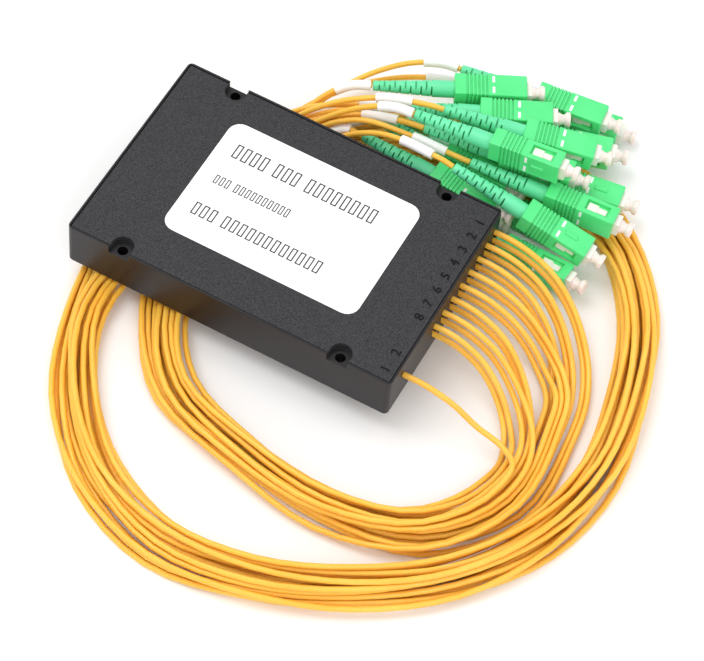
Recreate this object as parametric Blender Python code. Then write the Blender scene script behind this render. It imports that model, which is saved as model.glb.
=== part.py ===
"""Fibre optic splitter: a flat case, seventeen patch cables and their push-pull connectors.

Metres, +Z up. The origin is the centre of the case. X runs along the case towards the cable
exits and Y towards the back. The case lies on its own cables, which lie on the bench.
"""

import math

import bmesh
import bpy
import numpy as np
from mathutils import Matrix, Vector

MM = 0.001

# Clearances
FIT = 0.3 * MM
LABEL_GAP = 0.03 * MM
SLIDE_GAP = 0.3 * MM
BED_SPARE = 1.2 * MM

# Case
CASE_LENGTH = 120 * MM
CASE_WIDTH = 80 * MM
CASE_HEIGHT = 18 * MM
CASE_CORNER = 1.6 * MM
RIM_WALL = 0.7 * MM
LEDGE = 1.9 * MM
BASE_THICK = 2.0 * MM
LID_THICK = 2.0 * MM
LID_SINK = 0.2 * MM

# Screw recesses at the four corners
SCREW_X = CASE_LENGTH / 2 - 19.5 * MM
SCREW_Y = CASE_WIDTH / 2 - 2.8 * MM
SCREW_RADIUS = 1.75 * MM
RECESS_RADIUS = 3.75 * MM
RECESS_DEPTH = 3.0 * MM
BOSS_WALL = 1.6 * MM

# Label
LABEL_LENGTH = 72 * MM
LABEL_WIDTH = 50 * MM
LABEL_THICK = 0.12 * MM
LABEL_CORNER = 4.5 * MM
LABEL_X = 1.4 * MM
LABEL_Y = 1.4 * MM

# Cable exits in the right-hand end
EXIT_COUNT = 8
EXIT_FIRST_Y = CASE_WIDTH / 2 - 4.3 * MM
EXIT_PITCH = 6.24 * MM
EXIT_UPPER_Z = 1.6 * MM
EXIT_LOWER_Z = -3.1 * MM
INPUT_Y = -CASE_WIDTH / 2 + 10.3 * MM
INPUT_Z = 1.6 * MM
SLOT_GAP = 0.35 * MM

# Inside the case
ANCHOR_LENGTH = 6.5 * MM
ANCHOR_MARGIN = 2.2 * MM
PAD_THICK = 1.2 * MM
MODULE_LENGTH = 0.42 * CASE_LENGTH
MODULE_WIDTH = 7 * MM
MODULE_HEIGHT = 4 * MM
MODULE_LEAD = 3.0 * MM
MODULE_Y = INPUT_Y + 41 * MM
FIBRE_RADIUS = 0.45 * MM
FAN_BLOCK = 8 * MM
FAN_GAP = 6 * MM

# Cables
CORD_RADIUS = 1.0 * MM
CORD_PITCH = 2.25 * MM
CORD_LAYER = 2.2 * MM
STACK_LAYERS = 4
STATIONS = 28
FAN_POINTS = 5
TAIL_POINTS = 5
BESIDE = 2.08 * MM
HUMP_SLOPE = 3.0 * MM
SAMPLES = 21
SLOT_REACH = 7.5 * MM
BOOT_LEAD = 5.0 * MM

# Connectors: the plug's body runs along its own X, from the rear of the sliding grip
GRIP_LENGTH = 25 * MM
GRIP_HALF_WIDTH = 4.5 * MM
GRIP_HALF_HEIGHT = 3.7 * MM
GRIP_CHAMFER = 0.6 * MM
GRIP_NOSE = 1.3 * MM
GRIP_POCKET = 2.0 * MM
GRIP_TRAVEL = 1.2 * MM
CORE_HALF_WIDTH = 3.0 * MM
CORE_HALF_HEIGHT = 2.3 * MM
CORE_LENGTH = 27.3 * MM
NECK_RADIUS = 2.2 * MM
BOOT_LENGTH = 28 * MM
BOOT_FRONT_RADIUS = 3.0 * MM
BOOT_TAIL_RADIUS = 1.7 * MM
CAP_RADIUS = 2.6 * MM
CAP_LENGTH = 3.4 * MM
CAP_NECK = 0.6 * MM
WINDOW_START = 14.6 * MM
WINDOW_LENGTH = 6.6 * MM
WINDOW_HEIGHT = 3.4 * MM
KEY_START = 15.2 * MM
KEY_LENGTH = 4.6 * MM
KEY_WIDTH = 1.9 * MM
KEY_HEIGHT = 0.5 * MM

# Heights that follow from the sizes above
TOP = CASE_HEIGHT / 2
BOTTOM = -CASE_HEIGHT / 2
LIFT = (STACK_LAYERS - 1) * CORD_LAYER + 2 * CORD_RADIUS + BED_SPARE
FLOOR = BOTTOM - LIFT
INNER_BASE = BOTTOM + BASE_THICK
LID_UNDER = TOP - LID_SINK - LID_THICK
RIM_X = CASE_LENGTH / 2 - RIM_WALL
RIM_Y = CASE_WIDTH / 2 - RIM_WALL
INNER_X = RIM_X - LEDGE
INNER_Y = RIM_Y - LEDGE

# Shared route of the cable loops, clockwise from the exits, in millimetres: x, y, how far the
# second ribbon of cables sits outward of the first, and how far the third does
ROUTE = [
    (110, -14, -5, -10),
    (111, -37, -4, -9),
    (104, -57, -1, -5),
    (88, -70, 1, -2),
    (66, -75, 2, 1),
    (43, -76, 2, 2),
    (20, -71, 1, 0),
    (-3, -66, 0, -3),
    (-16, -53, 0, -4),
    (-26, -38, 0, -5),
    (-34, -14, 0, -10),
    (-35, 10, 0, -12.7),
    (-30, 32, 0, -12.7),
    (-20, 51, 0, -12.7),
    (-5, 67, 0, -12.7),
    (14, 78, 0, -12.7),
    (36, 83.5, 0, -12.7),
    (58, 84, 0, -12.7),
    (79, 77.5, 0, -7),
    (97, 63, 0, -2),
    (111, 44, 1, 0),
    (119.5, 23, 1, 1),
    (126.3, 1, 0, 0),
    (128.7, -20, -1, 0),
    (125.5, -42, -1, -1),
    (118, -62, 0, -2),
    (104, -80, 0, -2),
    (88, -93, 1, -2),
    (68, -105, 1, -2),
    (46, -113, 1, -3),
    (23, -116, 1, -4),
    (1, -111, 0, -4),
    (-18, -99, 0, -4),
    (-32.5, -82.5, 0, -4),
    (-43, -62, 0, -3),
    (-48.5, -42, 0, -3),
    (-51, -21, 0, -9),
    (-48, 1, 0, -12.7),
    (-40, 21, 0, -12.7),
    (-28, 38, 0, -12.7),
]
CROSSING = 14

# How far each cable drifts from its lane in the open, away from the case and the pile
WANDER = 1.1 * MM
WANDER_STEP = 1.25
WANDER_TURN = 2.0
WANDER_FRONT = -50 * MM
WANDER_RIGHT = 104 * MM
WANDER_EASE = 14 * MM

# The three ribbons that the cables lie in, lowest first, each from its outer lane to its inner
# one. A cable's number tells its exit: odd ones leave above, even ones below them
RIBBONS = (
    ("01", "02", "03", "04", "05", "06"),
    ("07", "08", "09", "10", "11", "12"),
    ("13", "in", "14", "15", "16"),
)
LATE_EXIT = 6

# Where each connector lies: rear of its grip in millimetres, then heading, pitch and roll in degrees
PILE = {
    "01": (49.6, 103.4, -14.6, 9, 0, 180),
    "02": (44.5, 100.4, -6.5, 6, 0, 180),
    "03": (20.4, 82.8, 0.8, 28, 0, 180),
    "04": (52.7, 87.5, -10.3, 14, 2, 0),
    "05": (64.5, 71.8, -7.4, 8, 0, 0),
    "06": (36.7, 75.0, -9.4, 11, 2, 0),
    "07": (32.5, 78.6, 0.1, 26, 0, 180),
    "08": (50.2, 76.1, 3.8, 15, -6, 180),
    "09": (47.3, 66.2, 1.2, 8, 0, 0),
    "10": (44.5, 62.0, 10.6, 5, 1, 90),
    "11": (67.6, 59.9, -0.3, 4, -2, -90),
    "12": (28.7, 61.9, -7.1, -3, 0, 90),
    "13": (55.3, 58.3, -14.9, -2, 0, 0),
    "in": (29.8, 50.2, -4.3, -4, 0, 180),
    "14": (64.6, 48.4, 1.1, 0, -13, 0),
    "15": (28.4, 51.0, -13.1, -1, -3, 0),
    "16": (62.4, 41.4, -12.8, -4, 4, 90),
}


# How each cable wanders from the second turn to its connector: reach at the start and at the end
# as parts of the distance, then sideways and upward swing in millimetres
TAILS = {
    "01": (0.10, 0.29, 3.4, 1.1),
    "02": (0.26, 0.18, 4.1, 0.6),
    "03": (0.33, 0.20, 2.0, 0.6),
    "04": (0.49, 0.41, -0.0, 1.5),
    "05": (0.26, 0.10, 8.8, 6.6),
    "06": (0.47, 0.17, 1.3, -0.4),
    "07": (0.17, 0.57, 1.8, 0.4),
    "08": (0.16, 0.31, 2.0, 2.0),
    "09": (0.16, 0.38, 2.0, -0.1),
    "10": (0.32, 0.14, 1.4, 1.7),
    "11": (0.36, 0.47, 1.2, 5.2),
    "12": (0.84, 0.10, 0.9, -0.6),
    "13": (0.14, 0.51, 0.2, -0.8),
    "in": (0.51, 0.10, 2.1, 0.9),
    "14": (0.33, 0.30, 7.7, -1.0),
    "15": (0.60, 0.10, 1.6, -0.2),
    "16": (0.14, 0.47, -0.6, -0.9),
}


def clear_scene():
    for obj in list(bpy.data.objects):
        bpy.data.objects.remove(obj, do_unlink=True)


def new_collection(name):
    collection = bpy.data.collections.new(name)
    bpy.context.scene.collection.children.link(collection)
    return collection


def material(name, colour, roughness, metallic=0.0):
    made = bpy.data.materials.new(name)
    made.use_nodes = True
    shader = made.node_tree.nodes["Principled BSDF"]
    shader.inputs["Base Color"].default_value = (*colour, 1.0)
    shader.inputs["Roughness"].default_value = roughness
    shader.inputs["Metallic"].default_value = metallic
    made.diffuse_color = (*colour, 1.0)
    return made


def add_object(name, mesh, collection, finish=None):
    obj = bpy.data.objects.new(name, mesh)
    collection.objects.link(obj)
    if finish and not mesh.materials:
        mesh.materials.append(finish)
    return obj


def mesh_from(bm, name):
    bmesh.ops.recalc_face_normals(bm, faces=bm.faces)
    mesh = bpy.data.meshes.new(name)
    bm.to_mesh(mesh)
    bm.free()
    return mesh


def box(low, high):
    """A block between two corners, as a bmesh."""
    bm = bmesh.new()
    bmesh.ops.create_cube(bm, size=1.0)
    low = Vector(low)
    high = Vector(high)
    bmesh.ops.scale(bm, vec=high - low, verts=bm.verts)
    bmesh.ops.translate(bm, vec=(low + high) / 2, verts=bm.verts)
    return bm


def round_upright_edges(bm, radius, segments=3):
    upright = [
        edge
        for edge in bm.edges
        if abs(edge.verts[0].co.z - edge.verts[1].co.z) > 0.5 * edge.calc_length() > 0
    ]
    bmesh.ops.bevel(
        bm, geom=upright, offset=radius, segments=segments, affect="EDGES", profile=0.5
    )


def rounded_plate(low, high, radius, segments=3):
    bm = box(low, high)
    round_upright_edges(bm, radius, segments)
    return bm


def cylinder(radius, low, high, sides=20):
    """An upright cylinder between two heights."""
    bm = bmesh.new()
    bmesh.ops.create_cone(
        bm, cap_ends=True, segments=sides, radius1=radius, radius2=radius, depth=high - low
    )
    bmesh.ops.translate(bm, vec=(0, 0, (low + high) / 2), verts=bm.verts)
    return bm


def cutter(name, bm, collection):
    obj = add_object(name, mesh_from(bm, name), collection)
    obj.hide_render = True
    obj.display_type = "WIRE"
    return obj


def boolean(obj, other, operation):
    modifier = obj.modifiers.new(other.name, "BOOLEAN")
    modifier.operation = operation
    modifier.object = other
    modifier.solver = "EXACT"


def applied(obj, name):
    """The object's evaluated mesh as a new one, for a shape that several objects share."""
    bpy.context.view_layer.update()
    graph = bpy.context.evaluated_depsgraph_get()
    mesh = bpy.data.meshes.new_from_object(obj.evaluated_get(graph))
    mesh.name = name
    return mesh


def screw_places():
    return [
        (side_x * SCREW_X, side_y * SCREW_Y, side_y)
        for side_x in (-1, 1)
        for side_y in (-1, 1)
    ]


def recess_cutter(name, x, y, side, cutters):
    """A U-shaped pocket, round at its inner end and open through the long wall."""
    bm = cylinder(RECESS_RADIUS, TOP - RECESS_DEPTH, TOP + RECESS_DEPTH, sides=24)
    for vert in bm.verts:
        if vert.co.y * side > 0.2 * RECESS_RADIUS:
            vert.co.y += side * CASE_WALL_REACH
    bmesh.ops.translate(bm, vec=(x, y, 0), verts=bm.verts)
    return cutter(name, bm, cutters)


# How far a recess runs past its screw, so that it opens through the wall
CASE_WALL_REACH = CASE_WIDTH / 2 - SCREW_Y + RECESS_RADIUS


def exit_y(number):
    return EXIT_FIRST_Y - (number - 1) * EXIT_PITCH


def slot_cutter(name, y, low, high, cutters):
    """A slot through the end wall for the cables that leave at this place."""
    half = CORD_RADIUS + SLOT_GAP
    bm = box(
        (INNER_X - LEDGE, y - half, low - half), (CASE_LENGTH / 2 + LEDGE, y + half, high + half)
    )
    along = [e for e in bm.edges if abs(e.verts[0].co.x - e.verts[1].co.x) > LEDGE]
    bmesh.ops.bevel(
        bm, geom=along, offset=0.6 * half, segments=2, affect="EDGES", profile=0.5
    )
    return cutter(name, bm, cutters)


def make_tray(parts, cutters, finish, recesses):
    outer = rounded_plate(
        (-CASE_LENGTH / 2, -CASE_WIDTH / 2, BOTTOM),
        (CASE_LENGTH / 2, CASE_WIDTH / 2, TOP),
        CASE_CORNER,
    )
    tray = add_object("case_tray", mesh_from(outer, "case_tray"), parts, finish)
    hollow = box((-INNER_X, -INNER_Y, INNER_BASE), (INNER_X, INNER_Y, TOP + LEDGE))
    boolean(tray, cutter("tray_hollow", hollow, cutters), "DIFFERENCE")
    rim = box((-RIM_X, -RIM_Y, LID_UNDER - FIT), (RIM_X, RIM_Y, TOP + LEDGE))
    boolean(tray, cutter("tray_rim", rim, cutters), "DIFFERENCE")
    reach = RECESS_RADIUS + BOSS_WALL
    for number, (x, y, side) in enumerate(screw_places()):
        ends = sorted((y - side * reach, side * (CASE_WIDTH / 2 - RIM_WALL / 2)))
        boss = box((x - reach, ends[0], INNER_BASE - LEDGE), (x + reach, ends[1], LID_UNDER - FIT))
        boolean(tray, cutter(f"screw_boss_{number}", boss, cutters), "UNION")
    for recess in recesses:
        boolean(tray, recess, "DIFFERENCE")
    for number, (x, y, side) in enumerate(screw_places()):
        bore = cylinder(SCREW_RADIUS, BOTTOM - LEDGE, TOP + LEDGE, sides=20)
        bmesh.ops.translate(bore, vec=(x, y, 0), verts=bore.verts)
        boolean(tray, cutter(f"screw_bore_{number}", bore, cutters), "DIFFERENCE")
    for number in range(1, EXIT_COUNT + 1):
        slot = slot_cutter(
            f"exit_slot_{number}", exit_y(number), EXIT_LOWER_Z, EXIT_UPPER_Z, cutters
        )
        boolean(tray, slot, "DIFFERENCE")
    slot = slot_cutter("input_slot", INPUT_Y, INPUT_Z, INPUT_Z, cutters)
    boolean(tray, slot, "DIFFERENCE")
    return tray


def make_lid(parts, finish, recesses):
    plate = box(
        (-RIM_X + FIT, -RIM_Y + FIT, LID_UNDER),
        (RIM_X - FIT, RIM_Y - FIT, TOP - LID_SINK),
    )
    lid = add_object("case_lid", mesh_from(plate, "case_lid"), parts, finish)
    for recess in recesses:
        boolean(lid, recess, "DIFFERENCE")
    return lid


def make_label(parts, finish):
    low_z = TOP - LID_SINK + LABEL_GAP
    plate = rounded_plate(
        (LABEL_X - LABEL_LENGTH / 2, LABEL_Y - LABEL_WIDTH / 2, low_z),
        (LABEL_X + LABEL_LENGTH / 2, LABEL_Y + LABEL_WIDTH / 2, low_z + LABEL_THICK),
        LABEL_CORNER,
        segments=5,
    )
    return add_object("label", mesh_from(plate, "label"), parts, finish)


def anchor_face():
    """Outer face of the cable anchors, where the cables end inside the case."""
    return INNER_X - FIT


def make_anchor(name, low_y, high_y, parts, finish):
    """The clamp block that grips the cables' strength yarn behind the end wall."""
    block = box(
        (anchor_face() - ANCHOR_LENGTH, low_y, INNER_BASE + FIT),
        (anchor_face(), high_y, EXIT_UPPER_Z + ANCHOR_MARGIN),
    )
    return add_object(name, mesh_from(block, name), parts, finish)


def make_module(parts, steel, foam):
    """The splitter chip's flat tube on its foam pad."""
    pad_top = INNER_BASE + FIT + PAD_THICK
    half_length = MODULE_LENGTH / 2
    half_width = MODULE_WIDTH / 2
    pad = box(
        (module_x() - half_length, MODULE_Y - half_width, INNER_BASE + FIT),
        (module_x() + half_length, MODULE_Y + half_width, pad_top),
    )
    add_object("module_pad", mesh_from(pad, "module_pad"), parts, foam)
    body = box(
        (module_x() - half_length, MODULE_Y - half_width, pad_top + FIT),
        (module_x() + half_length, MODULE_Y + half_width, pad_top + FIT + MODULE_HEIGHT),
    )
    add_object("splitter_module", mesh_from(body, "splitter_module"), parts, steel)


def module_axis_z():
    return INNER_BASE + 2 * FIT + PAD_THICK + MODULE_HEIGHT / 2


def loop_radius():
    return (MODULE_Y - INPUT_Y) / 2


def loop_centre_x():
    """Centre of the input fibre's loop, which passes just inside the left-hand wall."""
    return -INNER_X + loop_radius() + 2 * FIT + FIBRE_RADIUS


def module_x():
    """Middle of the chip, whose far end is just past the input fibre's loop."""
    return loop_centre_x() + MODULE_LEAD + FIT + MODULE_LENGTH / 2


def make_fan(parts, finish):
    """The ribbon from the chip, its fan-out block, and fingers of tube to the cable anchor."""
    middle = (EXIT_UPPER_Z + EXIT_LOWER_Z) / 2
    start = module_x() + MODULE_LENGTH / 2 + FIT
    block_x = start + FAN_GAP
    end = anchor_face() - ANCHOR_LENGTH - FIT
    half = MODULE_WIDTH / 2
    outline = [(start, MODULE_Y - half / 2), (block_x, MODULE_Y - half / 2)]
    outline.append((block_x, MODULE_Y - half))
    outline.append((block_x + FAN_BLOCK, MODULE_Y - half))
    for number in range(EXIT_COUNT, 0, -1):
        root = MODULE_Y - half + (EXIT_COUNT - number + 0.5) * MODULE_WIDTH / EXIT_COUNT
        outline.append((block_x + FAN_BLOCK, root - FIBRE_RADIUS / 2))
        outline.append((end, exit_y(number) - FIBRE_RADIUS))
        outline.append((end, exit_y(number) + FIBRE_RADIUS))
        outline.append((block_x + FAN_BLOCK, root + FIBRE_RADIUS / 2))
    outline.append((block_x + FAN_BLOCK, MODULE_Y + half))
    outline.append((block_x, MODULE_Y + half))
    outline.append((block_x, MODULE_Y + half / 2))
    outline.append((start, MODULE_Y + half / 2))
    curve = bpy.data.curves.new("fibre_fan", "CURVE")
    curve.dimensions = "2D"
    curve.fill_mode = "BOTH"
    curve.extrude = FIBRE_RADIUS
    spline = curve.splines.new("POLY")
    spline.use_cyclic_u = True
    spline.points.add(len(outline) - 1)
    for point, (x, y) in zip(spline.points, outline):
        point.co = (x, y, 0, 1)
    fan = bpy.data.objects.new("fibre_fan", curve)
    fan.location.z = min(middle, module_axis_z())
    curve.materials.append(finish)
    parts.objects.link(fan)


def tube(name, points, radius, parts, finish, resolution=2):
    curve = bpy.data.curves.new(name, "CURVE")
    curve.dimensions = "3D"
    curve.bevel_depth = radius
    curve.bevel_resolution = resolution
    curve.use_fill_caps = True
    spline = curve.splines.new("POLY")
    spline.points.add(len(points) - 1)
    for point, place in zip(spline.points, points):
        point.co = (*place, 1)
    curve.materials.append(finish)
    obj = bpy.data.objects.new(name, curve)
    parts.objects.link(obj)
    return obj


def make_input_fibre(parts, finish):
    """The bare fibre's tube, from the input anchor round to the chip's far end."""
    z = module_axis_z()
    start = anchor_face() - ANCHOR_LENGTH - FIT
    end = module_x() - MODULE_LENGTH / 2 - FIT
    bend = loop_radius()
    centre_x = loop_centre_x()
    centre_y = (MODULE_Y + INPUT_Y) / 2
    points = [(start, INPUT_Y, z)]
    for step in range(13):
        angle = -math.pi / 2 - math.pi * step / 12
        points.append(
            (centre_x + bend * math.cos(angle), centre_y + bend * math.sin(angle), z)
        )
    points.append((end, MODULE_Y, z))
    tube("input_fibre_tube", points, FIBRE_RADIUS, parts, finish)


def catmull(rows, samples=12):
    """Points of a smooth curve through every row, samples to each span."""
    rows = np.asarray(rows, float)
    padded = np.vstack([2 * rows[0] - rows[1], rows, 2 * rows[-1] - rows[-2]])
    made = []
    for index in range(len(rows) - 1):
        before, here, after, later = padded[index : index + 4]
        for step in range(samples):
            t = step / samples
            made.append(
                0.5
                * (
                    2 * here
                    + (after - before) * t
                    + (2 * before - 5 * here + 4 * after - later) * t**2
                    + (3 * here - before - 3 * after + later) * t**3
                )
            )
    made.append(rows[-1])
    return np.array(made)


def stations():
    """The shared route at evenly spaced stations: place, outward direction, ribbon shifts."""
    fine = catmull(ROUTE)
    steps = np.linalg.norm(np.diff(fine[:, :2], axis=0), axis=1)
    along = np.concatenate([[0], np.cumsum(steps)])
    places = np.linspace(0, along[-1], STATIONS)
    rows = np.stack([np.interp(places, along, column) for column in fine.T], axis=1)
    ahead = np.stack([np.interp(places + 1, along, fine[:, axis]) for axis in (0, 1)], axis=1)
    behind = np.stack([np.interp(places - 1, along, fine[:, axis]) for axis in (0, 1)], axis=1)
    heading = ahead - behind
    heading /= np.linalg.norm(heading, axis=1)[:, None]
    outward = np.stack([-heading[:, 1], heading[:, 0]], axis=1)
    return rows * MM, heading, outward


def lane_shift(row, station, ribbon, lane):
    """How far outward of the route a lane lies at a station."""
    shift = (0, row[2], row[3])[ribbon]
    loose = max((WANDER_FRONT - row[1]) / WANDER_EASE, (row[0] - WANDER_RIGHT) / WANDER_EASE)
    drift = math.sin(WANDER_STEP * station + WANDER_TURN * (lane + 2 * ribbon))
    drift *= WANDER * min(1, max(0, loose))
    return shift + ((len(RIBBONS[ribbon]) - 1) / 2 - lane) * CORD_PITCH + drift


def bezier(start, start_way, end, end_way, count):
    """Points between two ends on one smooth bend, without the last."""
    reach = 0.42 * np.linalg.norm(end - start)
    first = start + start_way * reach
    second = end - end_way * reach
    made = []
    for step in range(count):
        t = step / count
        made.append(
            (1 - t) ** 3 * start
            + 3 * t * (1 - t) ** 2 * first
            + 3 * t**2 * (1 - t) * second
            + t**3 * end
        )
    return made


def plug_axes(name):
    """Place of a connector's grip and its forward, side and upper directions."""
    x, y, z, heading, pitch, roll = PILE[name]
    turn = (
        Matrix.Rotation(math.radians(heading), 3, "Z")
        @ Matrix.Rotation(math.radians(-pitch), 3, "Y")
        @ Matrix.Rotation(math.radians(roll), 3, "X")
    )
    return Vector((x, y, z)) * MM, turn


def cable_start(name):
    """Centre of a cable's end, just inside the end wall."""
    if name == "in":
        return np.array([anchor_face() + FIT, INPUT_Y, INPUT_Z])
    number = int(name) - 1
    z = EXIT_LOWER_Z if number % 2 else EXIT_UPPER_Z
    return np.array([anchor_face() + FIT, exit_y(number // 2 + 1), z])


def join_of(name):
    """The first station of the shared route that a cable passes."""
    return int(name == "in" or (int(name) + 1) // 2 >= LATE_EXIT)


def plan_route(name, ribbon, lane, rows, heading, outward):
    """A cable's points from the case to the end of the second turn, on the bench for now."""
    start = cable_start(name)
    join = join_of(name)
    lanes = [
        np.array([*(rows[k, :2] + outward[k] * lane_shift(rows[k], k, ribbon, lane)), FLOOR])
        for k in range(len(rows))
    ]
    points = [start]
    mouth = start + np.array([SLOT_REACH, 0, 0])
    way = np.array([*heading[join], 0])
    for index, point in enumerate(
        bezier(mouth, np.array([1.0, 0, 0]), lanes[join], way, FAN_POINTS)
    ):
        fall = min(1.0, index / (FAN_POINTS - 1))
        point[2] = start[2] + (FLOOR - start[2]) * fall**2 * (3 - 2 * fall)
        points.append(point)
    points += lanes[join:]
    points = np.array(points)
    points[:, 2] = np.maximum(points[:, 2], FLOOR + CORD_RADIUS)
    return points


def resting_heights(places, laid):
    """The least height at each place that clears the cables laid before."""
    starts = np.vstack([points[:-1] for points in laid])
    ends = np.vstack([points[1:] for points in laid])
    along = ends - starts
    length = np.maximum((along[:, :2] ** 2).sum(axis=1), 1e-12)
    away = places[:, None, :2] - starts[None, :, :2]
    part = np.clip((away * along[None, :, :2]).sum(axis=2) / length, 0, 1)
    gaps = np.linalg.norm(away - along[None, :, :2] * part[:, :, None], axis=2)
    heights = starts[:, 2] + along[:, 2] * part
    over = np.sqrt(np.clip(1 - (gaps / BESIDE) ** 2, 0, 1))
    rest = np.where(gaps < BESIDE, heights + CORD_LAYER * over, FLOOR + CORD_RADIUS)
    return rest.max(axis=1)


def bed(piece, laid, flat_from=0):
    """Raises a stretch of cable so that it rests on the cables laid before it, in low humps."""
    parts = np.linspace(0, 1, SAMPLES)[:, None]
    for sweep in range(2):
        for index in range(len(piece) - 1):
            if not laid:
                break
            places = piece[index] * (1 - parts) + piece[index + 1] * parts
            rest = resting_heights(places, laid)
            for repeat in range(12):
                lack = rest - (piece[index, 2] * (1 - parts) + piece[index + 1, 2] * parts)[:, 0]
                worst = int(lack.argmax())
                if lack[worst] <= 0:
                    break
                t = parts[worst, 0]
                share = lack[worst] / ((1 - t) ** 2 + t**2)
                for end, weight in ((index, 1 - t), (index + 1, t)):
                    raised = min(piece[end, 2] + weight * share, rest[worst])
                    piece[end, 2] = max(piece[end, 2], raised)
        for index in range(flat_from + 1, len(piece)):
            piece[index, 2] = max(piece[index, 2], piece[index - 1, 2] - HUMP_SLOPE)
        for index in range(len(piece) - 2, flat_from - 1, -1):
            piece[index, 2] = max(piece[index, 2], piece[index + 1, 2] - HUMP_SLOPE)


def tail_of(name, start, way):
    """A cable's way from the end of the second turn to its connector's boot."""
    start_reach, end_reach, sideways, lift = TAILS[name]
    rear, turn = plug_axes(name)
    forward = np.array(turn @ Vector((1, 0, 0)))
    end = np.array(rear) - forward * (BOOT_LENGTH + FIT)
    before_end = end - forward * BOOT_LEAD
    span = np.linalg.norm(before_end - start)
    first = start + way * span * start_reach
    second = before_end - forward * span * end_reach
    across = np.array([-way[1], way[0], 0])
    shift = across * sideways * MM + np.array([0, 0, lift * MM])
    points = []
    for step in range(1, TAIL_POINTS + 1):
        t = step / TAIL_POINTS
        smooth = (
            (1 - t) ** 3 * start
            + 3 * t * (1 - t) ** 2 * first
            + 3 * t**2 * (1 - t) * second
            + t**3 * before_end
        )
        points.append(smooth + shift * math.sin(math.pi * t) ** 2)
    points.append(end)
    return points


def lay_turns():
    """Lays the first turn of every cable, then the second, each on those before it."""
    rows, heading, outward = stations()
    routes = {}
    order = []
    for ribbon, names in enumerate(RIBBONS):
        for lane, name in enumerate(names):
            routes[name] = plan_route(name, ribbon, lane, rows, heading, outward)
        lower = [name for name in names if name != "in" and int(name) % 2 == 0]
        order += lower + [name for name in names if name not in (*lower, "in")]
        order += ["in"] * ("in" in names)
    laid = {}
    halves = {name: 1 + FAN_POINTS + CROSSING - join_of(name) for name in order}
    for name in order:
        first_turn = routes[name][: halves[name] + 1]
        bed(first_turn, list(laid.values()), 1 + FAN_POINTS)
        laid[name, 1] = first_turn
    laid = {key: piece[:-2] for key, piece in laid.items()}
    for name in order:
        second_turn = routes[name][halves[name] :]
        bed(second_turn, list(laid.values()))
        laid[name, 2] = second_turn
    return routes, np.array([*heading[-1], 0])


def lay_cables():
    routes, way = lay_turns()
    return {
        name: np.array([*route, *tail_of(name, route[-1], way)])
        for name, route in routes.items()
    }


def loft(sections):
    """A closed solid through eight-sided sections along X: x, half width, half height, corner."""
    bm = bmesh.new()
    rings = []
    for x, wide, high, corner in sections:
        places = []
        for sy, sz in ((1, 1), (-1, 1), (-1, -1), (1, -1)):
            upright = (sy * wide, sz * (high - corner))
            level = (sy * (wide - corner), sz * high)
            places += [upright, level] if sy * sz > 0 else [level, upright]
        rings.append([bm.verts.new((x, y, z)) for y, z in places])
    for ring, following in zip(rings, rings[1:]):
        for index in range(8):
            turn = (index + 1) % 8
            bm.faces.new((ring[index], ring[turn], following[turn], following[index]))
    bm.faces.new(rings[0])
    bm.faces.new(reversed(rings[-1]))
    return bm


def round_section(x, radius):
    return (x, radius, radius, radius * (1 - math.tan(math.pi / 8)))


def body_mesh():
    """Boot, crimp neck, inner frame and dust cap of a plug, moulded and crimped as one."""
    cap_start = CORE_LENGTH + CAP_NECK
    shoulder = SLIDE_GAP
    frame_start = GRIP_POCKET + SLIDE_GAP + GRIP_TRAVEL
    sections = [
        round_section(-BOOT_LENGTH, BOOT_TAIL_RADIUS),
        round_section(shoulder, BOOT_FRONT_RADIUS),
        round_section(shoulder, NECK_RADIUS),
        round_section(frame_start, NECK_RADIUS),
        (frame_start, CORE_HALF_WIDTH, CORE_HALF_HEIGHT, 0.4 * MM),
        (CORE_LENGTH, CORE_HALF_WIDTH, CORE_HALF_HEIGHT, 0.4 * MM),
        round_section(CORE_LENGTH, 0.6 * CAP_RADIUS),
        round_section(cap_start, 0.6 * CAP_RADIUS),
        round_section(cap_start, CAP_RADIUS),
        round_section(cap_start + CAP_LENGTH, CAP_RADIUS),
    ]
    return mesh_from(loft(sections), "plug_body")


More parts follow.
